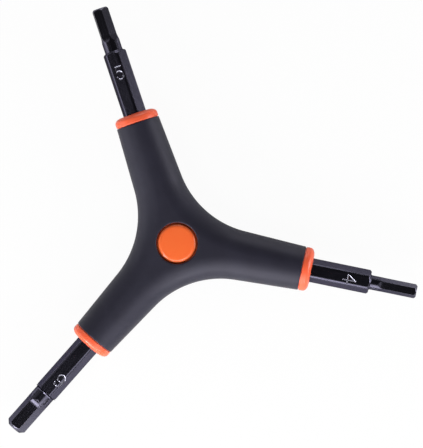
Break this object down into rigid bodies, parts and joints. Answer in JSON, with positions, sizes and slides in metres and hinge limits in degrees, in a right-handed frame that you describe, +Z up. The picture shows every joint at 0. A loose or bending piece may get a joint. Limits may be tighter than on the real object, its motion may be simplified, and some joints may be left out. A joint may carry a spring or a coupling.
{
  "type": "three-way hex key wrench",
  "caption": "Rigid Y-shaped hex wrench: steel hex keys of different sizes fixed at 120 degrees in a soft-grip handle with coloured end collars and a round centre cap.",
  "frame": {"origin": "on the resting face at the middle of the hub's round cap, straight under the point where the three key axes meet, 7 mm below it", "axes": "+Z up out of the front cap, square to the plane of the three arms; +Y along the 5 mm key towards its tip; the 6 mm key points to 210 degrees and the 4 mm key to 330 degrees, counterclockwise from +X seen from above"},
  "size_m": [0.1382, 0.1211, 0.014],
  "materials": {
    "key_steel": "chrome vanadium steel, black oxide, satin",
    "trim_plastic": "orange ABS, moulded, semi-gloss",
    "core_plastic": "orange glass-filled nylon, moulded",
    "grip_rubber": "black thermoplastic rubber, fine matte texture"
  },
  "bodies": {
    "root": {"hex_key_4mm": "key_steel", "hex_key_5mm": "key_steel", "hex_key_6mm": "key_steel", "end_collar_4mm": "trim_plastic", "end_collar_5mm": "trim_plastic", "end_collar_6mm": "trim_plastic", "front_cap": "trim_plastic", "back_cap": "trim_plastic", "hub_core": "core_plastic", "grip_overmould": "grip_rubber"}
  },
  "joints": []
}
